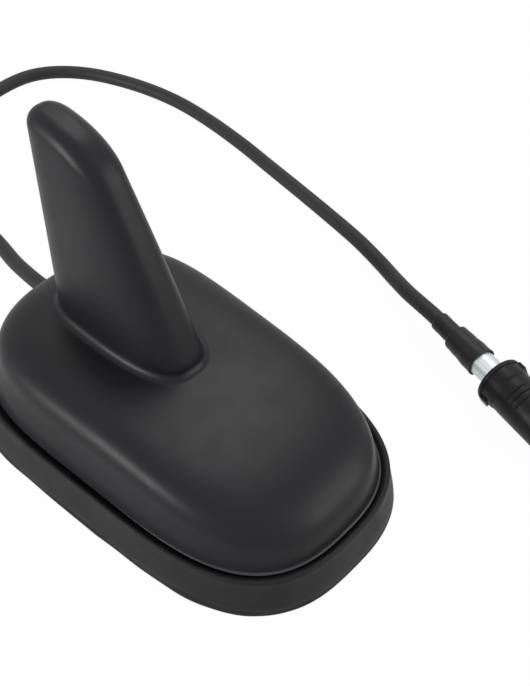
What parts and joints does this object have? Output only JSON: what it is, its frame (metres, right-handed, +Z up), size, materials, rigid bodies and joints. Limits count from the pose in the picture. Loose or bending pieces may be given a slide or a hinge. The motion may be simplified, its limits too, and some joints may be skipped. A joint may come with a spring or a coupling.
{
  "type": "shark fin aerial",
  "caption": "Car roof aerial with an upright fin on a rounded cover, a thick rubber foot, a coax cable and a round plug.",
  "frame": {"origin": "centre of the foot's outline, on the roof surface it stands on", "axes": "+X to the front of the vehicle along the foot, +Y across, +Z up along the fin"},
  "size_m": [0.232, 0.1357, 0.0789],
  "materials": {
    "cover_plastic": "fine satin grain, charcoal",
    "gasket_rubber": "matt moulded rubber",
    "seal_rubber": "soft silicone",
    "cast_plate": "as cast",
    "foam_pad": "closed foam",
    "board_laminate": "solder mask",
    "tinned_sheet": "tinned",
    "chip_plastic": "moulded",
    "capacitor_body": "fired",
    "spool_plastic": "moulded",
    "copper_wire": "enamelled copper",
    "brass_sheet": "rolled",
    "screw_steel": "zinc plated",
    "grommet_rubber": "matt",
    "cable_jacket": "soft satin jacket",
    "shrink_sleeve": "shrunk tube",
    "bright_ferrule": "bright nickel",
    "plug_plastic": "moulded",
    "insulator_plastic": "turned",
    "contact_brass": "plated"
  },
  "bodies": {
    "root": {"cover": "cover_plastic", "gasket": "gasket_rubber", "cover_seal": "seal_rubber", "base_plate": "cast_plate", "adhesive_pad": "foam_pad", "circuit_board": "board_laminate", "shield_can": "tinned_sheet", "amplifier_chip": "chip_plastic", "board_capacitors": "capacitor_body", "coil_former": "spool_plastic", "loading_coil": "copper_wire", "aerial_board": "board_laminate", "aerial_element": "brass_sheet", "aerial_brackets": "tinned_sheet", "board_screws": "screw_steel", "cover_screws": "screw_steel", "cable_grommet": "grommet_rubber", "inner_lead": "cable_jacket", "cable_crimp": "tinned_sheet", "signal_wire": "copper_wire", "cable_clamp": "tinned_sheet", "clamp_screw": "screw_steel", "coax_cable": "cable_jacket", "sleeve_small": "shrink_sleeve", "sleeve_large": "shrink_sleeve", "plug_ferrule": "bright_ferrule", "plug_housing": "plug_plastic", "plug_lock": "plug_plastic", "plug_insulator": "insulator_plastic", "plug_contact": "contact_brass"}
  },
  "joints": []
}
